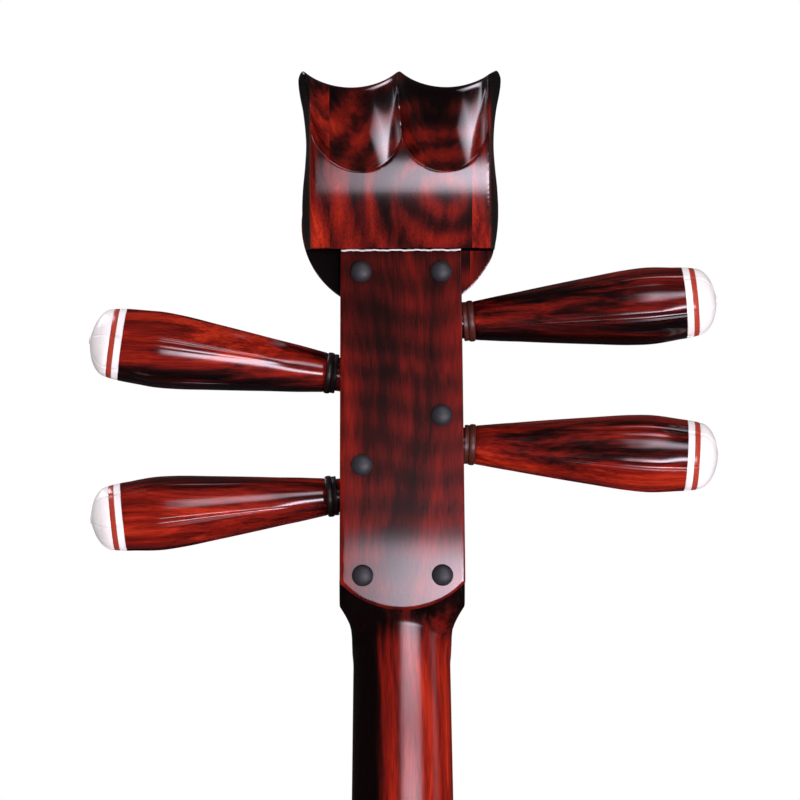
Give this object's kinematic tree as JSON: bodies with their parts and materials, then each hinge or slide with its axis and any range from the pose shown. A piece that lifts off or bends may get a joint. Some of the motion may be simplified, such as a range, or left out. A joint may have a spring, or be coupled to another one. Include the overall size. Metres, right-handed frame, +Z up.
{
  "type": "zhongruan",
  "caption": "Round-bodied plucked lute with a long fretted neck, a slotted pegbox with a back cover, and four turning pegs under a carved head",
  "frame": {"origin": "centre of the round back's flat outer face", "axes": "+Z up the neck to the head, +Y out of the back, strings towards -Y"},
  "size_m": [0.42, 0.0748, 0.9964],
  "materials": {
    "rosewood_red": "red lacquered rosewood, polished",
    "rosewood_dark": "dark rosewood, satin",
    "paulownia": "plain planed paulownia, waxed",
    "spruce": "raw inner wood",
    "bone": "white bone, polished",
    "red_ring": "red lacquer ring",
    "nickel_silver": "fret wire",
    "screw_steel": "black screws",
    "cap_rubber": "matt black dome caps",
    "string_plain": "steel string",
    "collar_horn": "dark turned horn"
  },
  "bodies": {
    "root": {"soundboard": "paulownia", "back_board": "rosewood_red", "rib_bass": "rosewood_red", "rib_treble": "rosewood_red", "front_lining": "spruce", "back_lining": "spruce", "front_binding": "rosewood_dark", "back_binding": "rosewood_dark", "neck_block": "spruce", "tail_block": "spruce", "front_braces": "spruce", "back_braces": "spruce", "sound_posts": "spruce", "sound_hole_rings": "rosewood_dark", "end_button": "rosewood_dark", "neck": "rosewood_red", "fingerboard": "rosewood_dark", "frets": "nickel_silver", "fret_dots": "bone", "nut": "bone", "bridge": "rosewood_dark", "saddle": "bone", "pegbox_cover": "rosewood_red", "cover_screws": "screw_steel", "screw_caps": "cap_rubber", "head_core": "rosewood_red", "head_cheek_bass": "rosewood_red", "head_cheek_treble": "rosewood_red", "head_face": "rosewood_red", "head_inlay": "bone", "string_a": "string_plain", "string_b": "string_plain", "string_c": "string_plain", "string_d": "string_plain"},
    "peg_a": {"peg_a_handle": "rosewood_red", "peg_a_collar": "collar_horn", "peg_a_bone_ring": "bone", "peg_a_red_ring": "red_ring", "peg_a_cap": "bone", "peg_a_coil": "string_plain"},
    "peg_b": {"peg_b_handle": "rosewood_red", "peg_b_collar": "collar_horn", "peg_b_bone_ring": "bone", "peg_b_red_ring": "red_ring", "peg_b_cap": "bone", "peg_b_coil": "string_plain"},
    "peg_c": {"peg_c_handle": "rosewood_red", "peg_c_collar": "collar_horn", "peg_c_bone_ring": "bone", "peg_c_red_ring": "red_ring", "peg_c_cap": "bone", "peg_c_coil": "string_plain"},
    "peg_d": {"peg_d_handle": "rosewood_red", "peg_d_collar": "collar_horn", "peg_d_bone_ring": "bone", "peg_d_red_ring": "red_ring", "peg_d_cap": "bone", "peg_d_coil": "string_plain"}
  },
  "joints": [
    {"name": "peg_a_turn", "type": "hinge", "parent": "root", "child": "peg_a", "pos_m": [0, -0.049, 0.6374], "axis": [0.9956, 0, -0.0941], "continuous": true},
    {"name": "peg_b_turn", "type": "hinge", "parent": "root", "child": "peg_b", "pos_m": [0, -0.049, 0.6531], "axis": [-0.9984, 0, -0.0558], "continuous": true},
    {"name": "peg_c_turn", "type": "hinge", "parent": "root", "child": "peg_c", "pos_m": [0, -0.049, 0.6721], "axis": [0.99, 0, 0.1409], "continuous": true},
    {"name": "peg_d_turn", "type": "hinge", "parent": "root", "child": "peg_d", "pos_m": [0, -0.049, 0.6903], "axis": [-0.9968, 0, 0.0802], "continuous": true}
  ]
}
